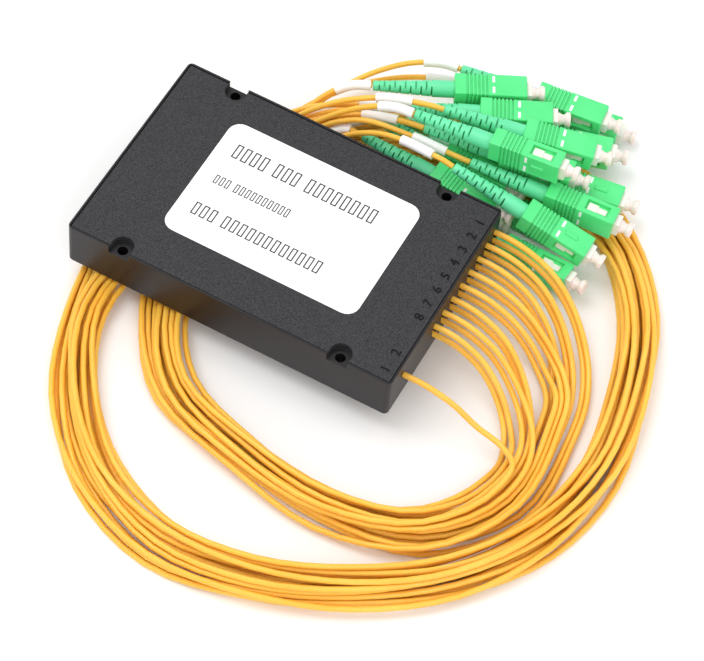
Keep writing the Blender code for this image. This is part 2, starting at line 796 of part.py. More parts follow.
def grip_mesh(cutters):
    """The sliding outer grip: a square tube with a latch window in each side and a key rib."""
    outer = loft(
        [
            (0, GRIP_HALF_WIDTH, GRIP_HALF_HEIGHT, GRIP_CHAMFER),
            (GRIP_LENGTH - GRIP_NOSE, GRIP_HALF_WIDTH, GRIP_HALF_HEIGHT, GRIP_CHAMFER),
            (
                GRIP_LENGTH,
                GRIP_HALF_WIDTH - GRIP_CHAMFER,
                GRIP_HALF_HEIGHT - GRIP_CHAMFER,
                GRIP_CHAMFER,
            ),
        ]
    )
    shell = cutter("grip_shell", outer, cutters)
    wide = CORE_HALF_WIDTH + SLIDE_GAP
    high = CORE_HALF_HEIGHT + SLIDE_GAP
    channel = box((-GRIP_NOSE, -wide, -high), (GRIP_LENGTH + GRIP_NOSE, wide, high))
    boolean(shell, cutter("grip_channel", channel, cutters), "DIFFERENCE")
    mouth = BOOT_FRONT_RADIUS + SLIDE_GAP
    pocket = box((-GRIP_NOSE, -mouth, -mouth), (GRIP_POCKET, mouth, mouth))
    boolean(shell, cutter("grip_pocket", pocket, cutters), "DIFFERENCE")
    window = box(
        (WINDOW_START, -2 * GRIP_HALF_WIDTH, -WINDOW_HEIGHT / 2),
        (WINDOW_START + WINDOW_LENGTH, 2 * GRIP_HALF_WIDTH, WINDOW_HEIGHT / 2),
    )
    boolean(shell, cutter("grip_windows", window, cutters), "DIFFERENCE")
    key = box(
        (KEY_START, -KEY_WIDTH / 2, GRIP_HALF_HEIGHT - KEY_HEIGHT),
        (KEY_START + KEY_LENGTH, KEY_WIDTH / 2, GRIP_HALF_HEIGHT + KEY_HEIGHT),
    )
    boolean(shell, cutter("grip_key", key, cutters), "UNION")
    return applied(shell, "plug_grip")


def make_connectors(parts, cutters, boot_green, housing_green):
    body = body_mesh()
    grip = grip_mesh(cutters)
    for name in sorted(PILE):
        place, turn = plug_axes(name)
        for label, mesh, finish in (
            ("connector", body, boot_green),
            ("grip", grip, housing_green),
        ):
            obj = add_object(f"{label}_{name}", mesh, parts, finish)
            obj.matrix_world = Matrix.Translation(place) @ turn.to_4x4()


def main():
    clear_scene()
    parts = new_collection("fibre_optic_splitter")
    cutters = new_collection("cutters")
    shell = material("moulded_abs_charcoal", (0.07, 0.07, 0.075), 0.55)
    lid_grain = material("grained_abs_charcoal", (0.06, 0.06, 0.065), 0.75)
    paper = material("label_vinyl_white", (0.85, 0.85, 0.85), 0.45)
    steel = material("stainless_steel", (0.6, 0.6, 0.62), 0.3, 1.0)
    foam = material("foam_tape_grey", (0.3, 0.3, 0.3), 0.9)
    resin = material("anchor_resin", (0.75, 0.72, 0.62), 0.5)
    ribbon = material("fibre_tube_clear", (0.8, 0.82, 0.85), 0.35)
    jacket = material("cable_jacket_yellow", (0.9, 0.45, 0.04), 0.45)
    boot_green = material("boot_green", (0.2, 0.75, 0.4), 0.5)
    housing_green = material("housing_green", (0.05, 0.6, 0.15), 0.4)

    recesses = [
        recess_cutter(f"screw_recess_{number}", x, y, side, cutters)
        for number, (x, y, side) in enumerate(screw_places())
    ]
    make_tray(parts, cutters, shell, recesses)
    make_lid(parts, lid_grain, recesses)
    make_label(parts, paper)
    make_module(parts, steel, foam)
    low = exit_y(EXIT_COUNT) - CORD_RADIUS - ANCHOR_MARGIN
    high = min(exit_y(1) + CORD_RADIUS + ANCHOR_MARGIN, INNER_Y - FIT)
    make_anchor("output_anchor", low, high, parts, resin)
    reach = CORD_RADIUS + ANCHOR_MARGIN
    make_anchor("input_anchor", INPUT_Y - reach, INPUT_Y + reach, parts, resin)
    make_fan(parts, ribbon)
    make_input_fibre(parts, ribbon)
    for name, points in lay_cables().items():
        tube(f"cable_{name}", points, CORD_RADIUS, parts, jacket)
    make_connectors(parts, cutters, boot_green, housing_green)


main()
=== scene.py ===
# %% [markdown]
# # A fibre optic splitter box with its patch cables
#
# A flat black box splits the light of one fibre into sixteen. One input cable and sixteen output
# cables leave its end wall, run twice round in loose turns under the box, and end in a pile of
# green push-pull connectors behind it. This lesson draws the visible object around a packed
# CAD model: the box keeps its CAD solids, and cables, plugs and print are modelled here.

import math

import bpy
import numpy as np
from mathutils import Matrix, Vector


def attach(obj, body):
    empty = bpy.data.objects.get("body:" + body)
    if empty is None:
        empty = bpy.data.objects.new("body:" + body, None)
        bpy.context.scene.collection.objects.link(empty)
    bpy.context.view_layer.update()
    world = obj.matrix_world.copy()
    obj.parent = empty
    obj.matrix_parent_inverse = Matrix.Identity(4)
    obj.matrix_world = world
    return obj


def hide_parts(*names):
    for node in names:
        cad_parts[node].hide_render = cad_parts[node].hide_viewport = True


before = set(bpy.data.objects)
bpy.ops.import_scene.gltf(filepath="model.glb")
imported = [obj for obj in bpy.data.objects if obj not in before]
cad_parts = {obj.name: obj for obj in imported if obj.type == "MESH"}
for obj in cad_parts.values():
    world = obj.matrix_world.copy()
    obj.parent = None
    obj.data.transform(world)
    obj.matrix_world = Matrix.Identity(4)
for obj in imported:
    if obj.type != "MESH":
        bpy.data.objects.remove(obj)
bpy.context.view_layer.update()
MM = 0.001

# %% [markdown]
# ## The camera
#
# The photo looks steeply down from the front right with a long lens, so edges that are parallel
# in the box stay almost parallel in the picture. The camera is also rolled a few degrees.

# %% Camera
CAMERA_PLACE = Vector((0.23899, -0.51076, 0.79501))
CAMERA_AIM = Vector((0.0372, -0.0224, 0))
CAMERA_ROLL = math.radians(7.09)
CAMERA_LENS = 150.13
CAMERA_SENSOR = 36
CAMERA_SIGHT = 20


def place_camera():
    """Adds the camera: it looks at its aim and is then turned about that line by the roll."""
    bpy.ops.object.camera_add(location=CAMERA_PLACE)
    camera = bpy.context.object
    back = (CAMERA_PLACE - CAMERA_AIM).normalized()
    level = Vector((0, 0, 1)).cross(back).normalized()
    raised = back.cross(level)
    right = level * math.cos(CAMERA_ROLL) + raised * math.sin(CAMERA_ROLL)
    upward = raised * math.cos(CAMERA_ROLL) - level * math.sin(CAMERA_ROLL)
    camera.rotation_euler = Matrix((right, upward, back)).transposed().to_euler()
    camera.data.sensor_width = CAMERA_SENSOR
    camera.data.lens = CAMERA_LENS
    camera.data.clip_end = CAMERA_SIGHT
    bpy.context.scene.camera = camera
    return camera


camera = place_camera()
print("camera", camera.location[:], camera.data.lens)

# %% [markdown]
# ## How finishes are made
#
# Each finish is a Principled shader with its own nodes. Colours are written as they look on a
# screen and turned to linear light by one function. Noise over the object's coordinates, at its
# real size in millimetres, varies colour and roughness and gives the fine grain a bump. One
# function can make them all, because moulded plastics differ only in tone, gloss and grain.

# %% Finish helpers
# Nearly all of a noise lies in this middle range.
NOISE_LOW, NOISE_HIGH = 0.3, 0.7
PATCH_DETAIL = 2.0
GRAIN_DETAIL = 3.0
BEVEL_SAMPLES = 6


def hex_colour(text):
    """Linear light from the colour's sRGB hex digits."""
    parts = [int(text[k : k + 2], 16) / 255 for k in (1, 3, 5)]
    return (*[p / 12.92 if p < 0.0405 else ((p + 0.055) / 1.055) ** 2.4 for p in parts], 1)


def add(tree, kind, **values):
    """Adds a shader node. Each value is a socket to link, a setting or an input's value."""
    made = tree.nodes.new("ShaderNode" + kind)
    for name, value in values.items():
        socket = made.inputs.get(name.replace("_", " "))
        if isinstance(value, bpy.types.NodeSocket):
            tree.links.new(value, socket)
        elif socket is not None:
            socket.default_value = value
        else:
            setattr(made, name, value)
    return made


def spread(tree, value, low, high):
    """Stretches a noise's middle range to values from low to high."""
    ranged = add(tree, "MapRange", Value=value, From_Min=NOISE_LOW, From_Max=NOISE_HIGH)
    ranged.inputs["To Min"].default_value = low
    ranged.inputs["To Max"].default_value = high
    return ranged.outputs["Result"]


def finish_of(name, dark, light, patch, rough, grain, depth, edge=0.0, **more):
    """A finish whose colour goes between two tones in patches, with a fine grain.

    The width of the patches and of the grain, the grain's depth and the rounding of the edges
    are in millimetres.
    """
    made = bpy.data.materials.new(name)
    made.use_nodes = True
    tree = made.node_tree
    shader = tree.nodes["Principled BSDF"]
    place = add(tree, "TexCoord").outputs["Object"]
    patches = add(tree, "TexNoise", Vector=place, Scale=1 / (patch * MM), Detail=PATCH_DETAIL)
    tones = add(tree, "ValToRGB", Fac=patches.outputs["Fac"])
    tones.color_ramp.elements[0].position = NOISE_LOW
    tones.color_ramp.elements[1].position = NOISE_HIGH
    tones.color_ramp.elements[0].color = hex_colour(dark)
    tones.color_ramp.elements[1].color = hex_colour(light)
    tree.links.new(tones.outputs["Color"], shader.inputs["Base Color"])
    grains = add(tree, "TexNoise", Vector=place, Scale=1 / (grain * MM), Detail=GRAIN_DETAIL)
    rough_spread = spread(tree, grains.outputs["Fac"], *rough)
    tree.links.new(rough_spread, shader.inputs["Roughness"])
    bump = add(tree, "Bump", Height=grains.outputs["Fac"], Strength=1.0, Distance=depth * MM)
    if edge:
        rounded = add(tree, "Bevel", samples=BEVEL_SAMPLES, Radius=edge * MM)
        tree.links.new(rounded.outputs["Normal"], bump.inputs["Normal"])
    tree.links.new(bump.outputs["Normal"], shader.inputs["Normal"])
    for setting, value in more.items():
        shader.inputs[setting.replace("_", " ")].default_value = value
    return made


# %% [markdown]
# ## The finishes
#
# The box is injection-moulded ABS: the lid has a spark-eroded grain, and the tray is smooth
# satin. The cable jackets are soft yellow PVC, the plug housings glossy green PBT, the boots a
# softer mint elastomer, and the dust caps a milky polyethylene. Two tones lie close together
# wherever the real moulding is even, and far apart only on the grained lid.

# %% Finishes of the box
# Spark-eroded grain, drawn as coarse as it needs to be to show: dark pits between pale peaks,
# so the top looks dusty and dull.
lid_abs = finish_of(
    "grained charcoal ABS",
    "#101012",
    "#404043",
    patch=0.32,
    rough=(0.4, 0.75),
    grain=0.35,
    depth=0.12,
    edge=0.4,
    Specular_IOR_Level=0.3,
)
# Satin walls: they mirror the bench and the cords as a soft sheen.
tray_abs = finish_of(
    "satin charcoal ABS",
    "#161417",
    "#1B191C",
    patch=12,
    rough=(0.34, 0.44),
    grain=0.4,
    depth=0.004,
    edge=0.4,
    Specular_IOR_Level=0.35,
)
# The numerals' smooth faces are painted far darker than the lid they are moulded with, as shade.
numeral_painted_shade = finish_of(
    "smooth black ABS",
    "#060607",
    "#0B0B0C",
    patch=4,
    rough=(0.3, 0.4),
    grain=0.4,
    depth=0.002,
    Specular_IOR_Level=0.2,
)
# Vinyl film: an even, slightly glossy white.
label_vinyl = finish_of(
    "white coated label",
    "#F6F6F4",
    "#FAFAF9",
    patch=10,
    rough=(0.4, 0.5),
    grain=0.2,
    depth=0.002,
)
# Ink sits dull on the film.
label_ink = finish_of(
    "dark grey ink",
    "#303034",
    "#3A3A3E",
    patch=2,
    rough=(0.5, 0.6),
    grain=0.2,
    depth=0.001,
)
print("finishes of the box", len(bpy.data.materials))

# %% Finishes of the cables and plugs
# Soft jacket: light enters a little, so shaded sides turn warm orange.
jacket_pvc = finish_of(
    "yellow PVC jacket",
    "#F6B83C",
    "#FCC44E",
    patch=20,
    rough=(0.34, 0.44),
    grain=0.5,
    depth=0.008,
    Subsurface_Weight=0.35,
    Subsurface_Radius=(1.0, 0.45, 0.1),
    Subsurface_Scale=2 * MM,
)
# Housing plastic: clean, saturated and fairly glossy.
housing_pbt = finish_of(
    "green PBT housing",
    "#50DC80",
    "#5AE48B",
    patch=10,
    rough=(0.26, 0.34),
    grain=0.4,
    depth=0.004,
    edge=0.25,
)
# Boot rubber: bluer and duller than the housing.
boot_tpe = finish_of(
    "mint elastomer boot",
    "#5ED89C",
    "#6AE0A8",
    patch=10,
    rough=(0.42, 0.52),
    grain=0.4,
    depth=0.006,
    edge=0.1,
)
# Inner frame: plain ivory white.
frame_pbt = finish_of(
    "ivory PBT frame",
    "#E9E4DC",
    "#F0ECE4",
    patch=8,
    rough=(0.3, 0.4),
    grain=0.3,
    depth=0.003,
    edge=0.1,
)
# Dust cap: light enters it, so its edges glow and its middle stays dull.
cap_pe = finish_of(
    "milky polyethylene cap",
    "#E6D9D3",
    "#F0E5DF",
    patch=1.5,
    rough=(0.2, 0.3),
    grain=0.4,
    depth=0.005,
    Subsurface_Weight=0.4,
    Subsurface_Scale=1.5 * MM,
)
# Printed marks on the housings, and the number sleeves.
mark_white = finish_of(
    "white sleeve and mark",
    "#F5F4F2",
    "#FBFAF8",
    patch=6,
    rough=(0.35, 0.45),
    grain=0.3,
    depth=0.002,
)
print("finishes in all", len(bpy.data.materials))

# %% Finishes inside the box
steel = finish_of(
    "stainless steel tube",
    "#B9BABC",
    "#C6C7C9",
    patch=8,
    rough=(0.2, 0.3),
    grain=0.2,
    depth=0.001,
    Metallic=1.0,
)
# Closed-cell foam: its open cut pores make it quite dull.
foam = finish_of(
    "grey foam tape", "#6E7074", "#7C7E82", patch=2, rough=(0.8, 0.9), grain=0.4, depth=0.08
)
# Cast epoxy: glossy, because it set against a smooth mould.
resin = finish_of(
    "clear amber resin", "#D9D2C0", "#E4DDCC", patch=4, rough=(0.15, 0.25), grain=1, depth=0.01
)
tube_clear = finish_of(
    "clear fibre tube", "#E6E8E6", "#F0F2F0", patch=4, rough=(0.15, 0.2), grain=1, depth=0.004
)
print("finishes", len(bpy.data.materials))

# %% [markdown]
# ## The route of the cables
#
# All cables share one route of stations and run beside each other in three ribbons. Each later
# cable is laid on those that lie there already: it rises over them in a low hump. A last
# stretch leads from the second turn to the cable's own connector in the pile. A shared route
# needs few numbers, and it keeps seventeen cables from running through each other.

# %% Sizes of the case's end wall
# These sizes and the tables below are the same as in the part's source.
CASE_LENGTH = 120 * MM
CASE_WIDTH = 80 * MM
RIM_WALL = 0.7 * MM
LEDGE = 1.9 * MM
FIT = 0.3 * MM
EXIT_FIRST_Y = CASE_WIDTH / 2 - 4.3 * MM
EXIT_PITCH = 6.24 * MM
EXIT_UPPER_Z = 1.6 * MM
EXIT_LOWER_Z = -3.1 * MM
INPUT_Y = -CASE_WIDTH / 2 + 10.3 * MM
INPUT_Z = 1.6 * MM
CORD_START_X = CASE_LENGTH / 2 - RIM_WALL - LEDGE
FLOOR = -18.8 * MM
print("exits", round(EXIT_FIRST_Y, 5), "input", round(INPUT_Y, 5))

# %% Sizes of the cables and their lanes
CORD_RADIUS = 1.0 * MM
# Lanes of one ribbon lie this far apart, and a cable this much higher than the one it crosses
CORD_PITCH = 2.25 * MM
CORD_LAYER = 2.2 * MM
# Two cables whose lines are at least this far apart in plan lie side by side
BESIDE = 2.08 * MM
# The most that a cable rises or falls from one point of its route to the next
HUMP_SLOPE = 3.0 * MM
# How many places of each stretch are tried, how often a cable is gone over, and how often a
# stretch is raised each time
SAMPLES = 21
BED_SWEEPS = 2
BED_TRIES = 12
# Points of the shared route, of the fan before it and of the tail after it
STATIONS = 28
FAN_POINTS = 5
TAIL_POINTS = 5
# How far a bend keeps to the direction of its ends, as a part of its span
FAN_REACH = 0.42
# Straight stretches: out of the case's slot and into the boot
SLOT_REACH = 7.5 * MM
BOOT_LEAD = 5.0 * MM
BOOT_LENGTH = 28 * MM
# Fine steps of the route to each of its points, and the span that gives its heading, in mm
CATMULL_SAMPLES = 12
HEADING_SPAN = 1
# The least squared length of a stretch, so that nothing is divided by zero
TINY = 1e-12
print("lanes", CORD_PITCH, "layers", CORD_LAYER)

# %% Tables of the route, the ribbons and the pile
# Shared route of the cable loops, clockwise from the exits, in millimetres: x, y, how far the
# second ribbon of cables sits outward of the first, and how far the third does
ROUTE = [
    (110, -14, -5, -10),
    (111, -37, -4, -9),
    (104, -57, -1, -5),
    (88, -70, 1, -2),
    (66, -75, 2, 1),
    (43, -76, 2, 2),
    (20, -71, 1, 0),
    (-3, -66, 0, -3),
    (-16, -53, 0, -4),
    (-26, -38, 0, -5),
    (-34, -14, 0, -10),
    (-35, 10, 0, -12.7),
    (-30, 32, 0, -12.7),
    (-20, 51, 0, -12.7),
    (-5, 67, 0, -12.7),
    (14, 78, 0, -12.7),
    (36, 83.5, 0, -12.7),
    (58, 84, 0, -12.7),
    (79, 77.5, 0, -7),
    (97, 63, 0, -2),
    (111, 44, 1, 0),
    (119.5, 23, 1, 1),
    (126.3, 1, 0, 0),
    (128.7, -20, -1, 0),
    (125.5, -42, -1, -1),
    (118, -62, 0, -2),
    (104, -80, 0, -2),
    (88, -93, 1, -2),
    (68, -105, 1, -2),
    (46, -113, 1, -3),
    (23, -116, 1, -4),
    (1, -111, 0, -4),
    (-18, -99, 0, -4),
    (-32.5, -82.5, 0, -4),
    (-43, -62, 0, -3),
    (-48.5, -42, 0, -3),
    (-51, -21, 0, -9),
    (-48, 1, 0, -12.7),
    (-40, 21, 0, -12.7),
    (-28, 38, 0, -12.7),
]
# The station where the first turn ends and the second begins
CROSSING = 14

# How far each cable drifts from its lane, and how fast that turns with the station and the lane
WANDER = 1.1 * MM
WANDER_STEP = 1.25
WANDER_TURN = 2.0
# It drifts only in the open, in front of and to the right of these, and sets in gradually
WANDER_FRONT = -50 * MM
WANDER_RIGHT = 104 * MM
WANDER_EASE = 14 * MM

# The three ribbons that the cables lie in, lowest first, each from its outer lane to its inner
# one. A cable's number tells its exit: odd ones leave above, even ones below them
RIBBONS = (
    ("01", "02", "03", "04", "05", "06"),
    ("07", "08", "09", "10", "11", "12"),
    ("13", "in", "14", "15", "16"),
)
# Pairs of exits from this one on join the route a station later
LATE_EXIT = 6

# Where each connector lies: the rear of its grip in millimetres, then its heading, pitch and
# roll in degrees
PILE = {
    "01": (49.6, 103.4, -14.6, 9, 0, 180),
    "02": (44.5, 100.4, -6.5, 6, 0, 180),
    "03": (20.4, 82.8, 0.8, 28, 0, 180),
    "04": (52.7, 87.5, -10.3, 14, 2, 0),
    "05": (64.5, 71.8, -7.4, 8, 0, 0),
    "06": (36.7, 75.0, -9.4, 11, 2, 0),
    "07": (32.5, 78.6, 0.1, 26, 0, 180),
    "08": (50.2, 76.1, 3.8, 15, -6, 180),
    "09": (47.3, 66.2, 1.2, 8, 0, 0),
    "10": (44.5, 62.0, 10.6, 5, 1, 90),
    "11": (67.6, 59.9, -0.3, 4, -2, -90),
    "12": (28.7, 61.9, -7.1, -3, 0, 90),
    "13": (55.3, 58.3, -14.9, -2, 0, 0),
    "in": (29.8, 50.2, -4.3, -4, 0, 180),
    "14": (64.6, 48.4, 1.1, 0, -13, 0),
    "15": (28.4, 51.0, -13.1, -1, -3, 0),
    "16": (62.4, 41.4, -12.8, -4, 4, 90),
}

# How each cable wanders from the second turn to its connector: reach at the start and at the end
# as parts of the distance, then sideways and upward swing in millimetres
TAILS = {
    "01": (0.10, 0.29, 3.4, 1.1),
    "02": (0.26, 0.18, 4.1, 0.6),
    "03": (0.33, 0.20, 2.0, 0.6),
    "04": (0.49, 0.41, 0.0, 1.5),
    "05": (0.26, 0.10, 8.8, 6.6),
    "06": (0.47, 0.17, 1.3, -0.4),
    "07": (0.17, 0.57, 1.8, 0.4),
    "08": (0.16, 0.31, 2.0, 2.0),
    "09": (0.16, 0.38, 2.0, -0.1),
    "10": (0.32, 0.14, 1.4, 1.7),
    "11": (0.36, 0.47, 1.2, 5.2),
    "12": (0.84, 0.10, 0.9, -0.6),
    "13": (0.14, 0.51, 0.2, -0.8),
    "in": (0.51, 0.10, 2.1, 0.9),
    "14": (0.33, 0.30, 7.7, -1.0),
    "15": (0.60, 0.10, 1.6, -0.2),
    "16": (0.14, 0.47, -0.6, -0.9),
}
print("cables", len(TAILS), "points of the route", len(ROUTE))

# %% [markdown]
# ## From the route to the lanes
#
# A real ribbon of cables keeps its order round a bend. So the route is resampled at even
# stations, and each lane is set outward of it by its place in the ribbon. A slow sine drift in
# the open turns keeps the lanes from looking ruled.

# %% Stations and lanes
def exit_y(number):
    """The place across the case of a pair of exits, counted from the back."""
    return EXIT_FIRST_Y - (number - 1) * EXIT_PITCH


def catmull(rows, samples=CATMULL_SAMPLES):
    """Points of a smooth curve through every row, samples to each span."""
    rows = np.asarray(rows, float)
    padded = np.vstack([2 * rows[0] - rows[1], rows, 2 * rows[-1] - rows[-2]])
    made = []
    for index in range(len(rows) - 1):
        before, here, after, later = padded[index : index + 4]
        for step in range(samples):
            t = step / samples
            made.append(
                0.5
                * (
                    2 * here
                    + (after - before) * t
                    + (2 * before - 5 * here + 4 * after - later) * t**2
                    + (3 * here - before - 3 * after + later) * t**3
                )
            )
    made.append(rows[-1])
    return np.array(made)


def stations():
    """The shared route at evenly spaced stations: place, outward direction, ribbon shifts."""
    fine = catmull(ROUTE)
    steps = np.linalg.norm(np.diff(fine[:, :2], axis=0), axis=1)
    along = np.concatenate([[0], np.cumsum(steps)])
    places = np.linspace(0, along[-1], STATIONS)
    rows = np.stack([np.interp(places, along, column) for column in fine.T], axis=1)
    ahead, behind = (
        np.stack([np.interp(places + span, along, fine[:, axis]) for axis in (0, 1)], axis=1)
        for span in (HEADING_SPAN, -HEADING_SPAN)
    )
    heading = ahead - behind
    heading /= np.linalg.norm(heading, axis=1)[:, None]
    outward = np.stack([-heading[:, 1], heading[:, 0]], axis=1)
    return rows * MM, heading, outward


def lane_shift(row, station, ribbon, lane):
    """How far outward of the route a lane lies at a station."""
    shift = (0, row[2], row[3])[ribbon]
    loose = max((WANDER_FRONT - row[1]) / WANDER_EASE, (row[0] - WANDER_RIGHT) / WANDER_EASE)
    drift = math.sin(WANDER_STEP * station + WANDER_TURN * (lane + 2 * ribbon))
    drift *= WANDER * min(1, max(0, loose))
    return shift + ((len(RIBBONS[ribbon]) - 1) / 2 - lane) * CORD_PITCH + drift


print("stations", len(stations()[0]))

# %% [markdown]
# ## From each exit to its lane
#
# A cable leaves its slot straight and then fans out to its lane while it sinks to the bench. One
# cubic bend does both, because its ends can be given a direction as well as a place.

# %% Fan of the exits
def cubic(start, first, second, end, t):
    """The place at t on a bend that starts towards first and arrives from second."""
    return (
        (1 - t) ** 3 * start
        + 3 * t * (1 - t) ** 2 * first
        + 3 * t**2 * (1 - t) * second
        + t**3 * end
    )


def bezier(start, start_way, end, end_way, count):
    """Points between two ends on one smooth bend, without the last."""
    reach = FAN_REACH * np.linalg.norm(end - start)
    first = start + start_way * reach
    second = end - end_way * reach
    return [cubic(start, first, second, end, step / count) for step in range(count)]


def plug_axes(name):
    """Place of a connector's grip and its forward, side and upper directions."""
    x, y, z, heading, pitch, roll = PILE[name]
    turn = (
        Matrix.Rotation(math.radians(heading), 3, "Z")
        @ Matrix.Rotation(math.radians(-pitch), 3, "Y")
        @ Matrix.Rotation(math.radians(roll), 3, "X")
    )
    return Vector((x, y, z)) * MM, turn


def cable_start(name):
    """Centre of a cable's end, just inside the end wall."""
    if name == "in":
        return np.array([CORD_START_X, INPUT_Y, INPUT_Z])
    number = int(name) - 1
    z = EXIT_LOWER_Z if number % 2 else EXIT_UPPER_Z
    return np.array([CORD_START_X, exit_y(number // 2 + 1), z])


def join_of(name):
    """The first station of the shared route that a cable passes."""
    return int(name == "in" or (int(name) + 1) // 2 >= LATE_EXIT)


def plan_route(name, ribbon, lane, rows, heading, outward):
    """A cable's points from the case to the end of the second turn, on the bench for now."""
    start = cable_start(name)
    join = join_of(name)
    lanes = [
        np.array([*(rows[k, :2] + outward[k] * lane_shift(rows[k], k, ribbon, lane)), FLOOR])
        for k in range(len(rows))
    ]
    points = [start]
    mouth = start + np.array([SLOT_REACH, 0, 0])
    way = np.array([*heading[join], 0])
    for index, point in enumerate(
        bezier(mouth, np.array([1.0, 0, 0]), lanes[join], way, FAN_POINTS)
    ):
        fall = min(1.0, index / (FAN_POINTS - 1))
        point[2] = start[2] + (FLOOR - start[2]) * fall**2 * (3 - 2 * fall)
        points.append(point)
    points += lanes[join:]
    points = np.array(points)
    points[:, 2] = np.maximum(points[:, 2], FLOOR + CORD_RADIUS)
    return points


print("input starts at", cable_start("in").round(5))

# %% [markdown]
# ## Laying one cable on the others
#
# Where a cable crosses those laid before it, it has to lie on them. A physics run would be slow
# and would settle differently each time, so the height is worked out directly: every place gets
# the least height that clears the cables below, and the slope to both sides is kept low.

# %% Heights of the cables
def resting_heights(places, laid):
    """The least height at each place that clears the cables laid before."""
    starts = np.vstack([points[:-1] for points in laid])
    ends = np.vstack([points[1:] for points in laid])
    along = ends - starts
    length = np.maximum((along[:, :2] ** 2).sum(axis=1), TINY)
    away = places[:, None, :2] - starts[None, :, :2]
    part = np.clip((away * along[None, :, :2]).sum(axis=2) / length, 0, 1)
    gaps = np.linalg.norm(away - along[None, :, :2] * part[:, :, None], axis=2)
    heights = starts[:, 2] + along[:, 2] * part
    over = np.sqrt(np.clip(1 - (gaps / BESIDE) ** 2, 0, 1))
    rest = np.where(gaps < BESIDE, heights + CORD_LAYER * over, FLOOR + CORD_RADIUS)
    return rest.max(axis=1)


def bed(piece, laid, flat_from=0):
    """Raises a stretch of cable so that it rests on the cables laid before it, in low humps."""
    parts = np.linspace(0, 1, SAMPLES)[:, None]
    for sweep in range(BED_SWEEPS):
        for index in range(len(piece) - 1):
            if not laid:
                break
            places = piece[index] * (1 - parts) + piece[index + 1] * parts
            rest = resting_heights(places, laid)
            for attempt in range(BED_TRIES):
                lack = rest - (piece[index, 2] * (1 - parts) + piece[index + 1, 2] * parts)[:, 0]
                worst = int(lack.argmax())
                if lack[worst] <= 0:
                    break
                t = parts[worst, 0]
                share = lack[worst] / ((1 - t) ** 2 + t**2)
                for end, weight in ((index, 1 - t), (index + 1, t)):
                    raised = min(piece[end, 2] + weight * share, rest[worst])
                    piece[end, 2] = max(piece[end, 2], raised)
        for index in range(flat_from + 1, len(piece)):
            piece[index, 2] = max(piece[index, 2], piece[index - 1, 2] - HUMP_SLOPE)
        for index in range(len(piece) - 2, flat_from - 1, -1):
            piece[index, 2] = max(piece[index, 2], piece[index + 1, 2] - HUMP_SLOPE)


def tail_of(name, start, way):
    """A cable's way from the end of the second turn to its connector's boot."""
    start_reach, end_reach, sideways, lift = TAILS[name]
    rear, turn = plug_axes(name)
    forward = np.array(turn @ Vector((1, 0, 0)))
    end = np.array(rear) - forward * (BOOT_LENGTH + FIT)
    before_end = end - forward * BOOT_LEAD
    span = np.linalg.norm(before_end - start)
    first = start + way * span * start_reach
    second = before_end - forward * span * end_reach
    across = np.array([-way[1], way[0], 0])
    shift = across * sideways * MM + np.array([0, 0, lift * MM])
    points = []
    for step in range(1, TAIL_POINTS + 1):
        t = step / TAIL_POINTS
        smooth = cubic(start, first, second, before_end, t)
        points.append(smooth + shift * math.sin(math.pi * t) ** 2)
    points.append(end)
    return points


def lay_turns():
    """Lays the first turn of every cable, then the second, each on those before it."""
    rows, heading, outward = stations()
    routes = {}
    order = []
    for ribbon, names in enumerate(RIBBONS):
        for lane, name in enumerate(names):
            routes[name] = plan_route(name, ribbon, lane, rows, heading, outward)
        lower = [name for name in names if name != "in" and int(name) % 2 == 0]
        order += lower + [name for name in names if name not in (*lower, "in")]
        order += ["in"] * ("in" in names)
    laid = {}
    halves = {name: 1 + FAN_POINTS + CROSSING - join_of(name) for name in order}
    for name in order:
        first_turn = routes[name][: halves[name] + 1]
        bed(first_turn, list(laid.values()), 1 + FAN_POINTS)
        laid[name, 1] = first_turn
    laid = {key: piece[:-2] for key, piece in laid.items()}
    for name in order:
        second_turn = routes[name][halves[name] :]
        bed(second_turn, list(laid.values()))
        laid[name, 2] = second_turn
    return routes, np.array([*heading[-1], 0])


def lay_cables():
    """Every cable's points, from inside the end wall to its boot."""
    routes, way = lay_turns()
    return {
        name: np.array([*route, *tail_of(name, route[-1], way)])
        for name, route in routes.items()
    }


laid_cables = lay_cables()
print("cables laid", len(laid_cables))

# %% [markdown]
# ## The jackets
#
# A patch cable's jacket is extruded, so it is a plain round tube that bends smoothly. The few
# points of its route are joined by a smooth curve first, and a bevelled curve object then draws
# the tube, which keeps its true diameter in every bend.

# %% Jackets
SMOOTHING = 4
JACKET_SIDES = 3


def dense(points, samples=SMOOTHING):
    """A smooth curve through all points, never below the bench."""
    steps = np.linalg.norm(np.diff(points, axis=0), axis=1)
    slopes = np.diff(points, axis=0) / steps[:, None]
    tangents = np.vstack([slopes[:1], slopes[:1].repeat(len(points) - 2, axis=0), slopes[-1:]])
    weights = steps[:-1] / (steps[:-1] + steps[1:])
    tangents[1:-1] = slopes[:-1] * (1 - weights)[:, None] + slopes[1:] * weights[:, None]
    # Between two points the height neither dips nor overshoots, so cables that lie on each
    # other stay clear of each other.
    before, after = slopes[:-1, 2], slopes[1:, 2]
    both = before * after
    tangents[1:-1, 2] = np.divide(
        2 * both, before + after, out=np.zeros(len(both)), where=both > 0
    )
    made = []
    for index, step in enumerate(steps):
        for part in range(samples):
            t = part / samples
            made.append(
                (2 * t**3 - 3 * t**2 + 1) * points[index]
                + (t**3 - 2 * t**2 + t) * step * tangents[index]
                + (3 * t**2 - 2 * t**3) * points[index + 1]
                + (t**3 - t**2) * step * tangents[index + 1]
            )
    made = np.array([*made, points[-1]])
    made[:, 2] = np.maximum(made[:, 2], FLOOR + CORD_RADIUS)
    return made


